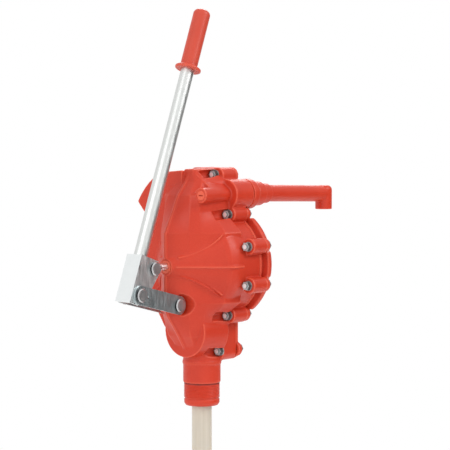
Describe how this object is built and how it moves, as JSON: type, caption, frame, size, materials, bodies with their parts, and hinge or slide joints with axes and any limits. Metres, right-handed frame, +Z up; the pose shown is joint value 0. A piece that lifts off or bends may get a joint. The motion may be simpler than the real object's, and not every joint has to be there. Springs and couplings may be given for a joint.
{
  "type": "hand diaphragm pump",
  "caption": "Hand-lever diaphragm pump for drums: bolted two-part housing, lever and link drive, swivelling down-turned spout, bung adaptor and suction tube.",
  "frame": {"origin": "axis of the bung adaptor at the top of its thread", "axes": "+Z up along the suction tube; +X to the rear, the way the spout points; the lever is on the -X side in the plane Y = 0"},
  "size_m": [0.4816, 0.2096, 0.9759],
  "materials": {
    "red_plastic": "satin moulded",
    "grip_plastic": "soft moulded",
    "rubber": "matte",
    "white_plastic": "moulded",
    "bright_steel": "turned",
    "pin_steel": "turned",
    "sheet_steel": "zinc plated sheet",
    "lever_metal": "drawn tube",
    "tube_plastic": "extruded",
    "zinc_steel": "zinc plated"
  },
  "bodies": {
    "pump_body": {"front_housing": "red_plastic", "rear_housing": "red_plastic", "outlet_nut": "red_plastic", "outlet_plug": "red_plastic", "diaphragm": "rubber", "rod_seal": "rubber", "guide_bush": "white_plastic", "valve_seats": "white_plastic", "gland_ring": "red_plastic", "anchor_pin": "pin_steel", "anchor_pin_cap": "pin_steel", "suction_tube": "tube_plastic", "housing_bolts": "zinc_steel", "housing_nuts": "zinc_steel", "front_washers": "zinc_steel", "rear_washers": "zinc_steel"},
    "rod": {"piston_rod": "bright_steel", "rod_eye": "bright_steel", "piston_nut": "bright_steel", "front_piston_plate": "white_plastic", "rear_piston_plate": "white_plastic", "rod_pin": "pin_steel", "rod_pin_cap": "pin_steel"},
    "link": {"near_link_plate": "sheet_steel", "far_link_plate": "sheet_steel", "lever_pin": "pin_steel", "lever_pin_cap": "pin_steel"},
    "lever": {"lever_bracket": "sheet_steel", "lever_tube": "lever_metal", "grip": "grip_plastic"},
    "spout": {"spout": "red_plastic", "spout_o_ring": "rubber"},
    "adaptor": {"bung_adaptor": "red_plastic", "adaptor_o_ring": "rubber", "bung_gasket": "rubber"},
    "front_inlet": {"front_inlet_valve": "rubber"},
    "rear_inlet": {"rear_inlet_valve": "rubber"},
    "front_outlet": {"front_outlet_valve": "rubber"},
    "rear_outlet": {"rear_outlet_valve": "rubber"}
  },
  "joints": [
    {"name": "link_swing", "type": "hinge", "parent": "pump_body", "child": "link", "pos_m": [-0.077, 0, 0.136], "axis": [0, -1, 0], "range_deg": [-0.77, 9.25]},
    {"name": "lever_swing", "type": "hinge", "parent": "link", "child": "lever", "pos_m": [-0.168, 0, 0.158], "axis": [0, -1, 0], "range_deg": [-3, 36]},
    {"name": "rod_slide", "type": "slide", "parent": "pump_body", "child": "rod", "axis": [1, 0, 0], "range_m": [-0.03958, 0.0033], "deforming": ["diaphragm"]},
    {"name": "spout_swivel", "type": "hinge", "parent": "pump_body", "child": "spout", "pos_m": [0.062, -0.0415, 0.313], "axis": [1, 0, 0], "range_deg": [-90, 90]},
    {"name": "adaptor_turn", "type": "hinge", "parent": "pump_body", "child": "adaptor", "pos_m": [0, 0, 0], "axis": [0, 0, 1], "continuous": true},
    {"name": "front_inlet_lift", "type": "slide", "parent": "pump_body", "child": "front_inlet", "axis": [0, 0, 1], "range_m": [0, 0.004]},
    {"name": "rear_inlet_lift", "type": "slide", "parent": "pump_body", "child": "rear_inlet", "axis": [0, 0, 1], "range_m": [0, 0.004]},
    {"name": "front_outlet_lift", "type": "slide", "parent": "pump_body", "child": "front_outlet", "axis": [0, 0, 1], "range_m": [0, 0.004]},
    {"name": "rear_outlet_lift", "type": "slide", "parent": "pump_body", "child": "rear_outlet", "axis": [0, 0, 1], "range_m": [0, 0.004]}
  ],
  "couplings": [
    {"joint": "link_swing", "follows": "lever_swing", "ratio": 0.257},
    {"joint": "rod_slide", "follows": "lever_swing", "m_per_rad": -0.063}
  ]
}
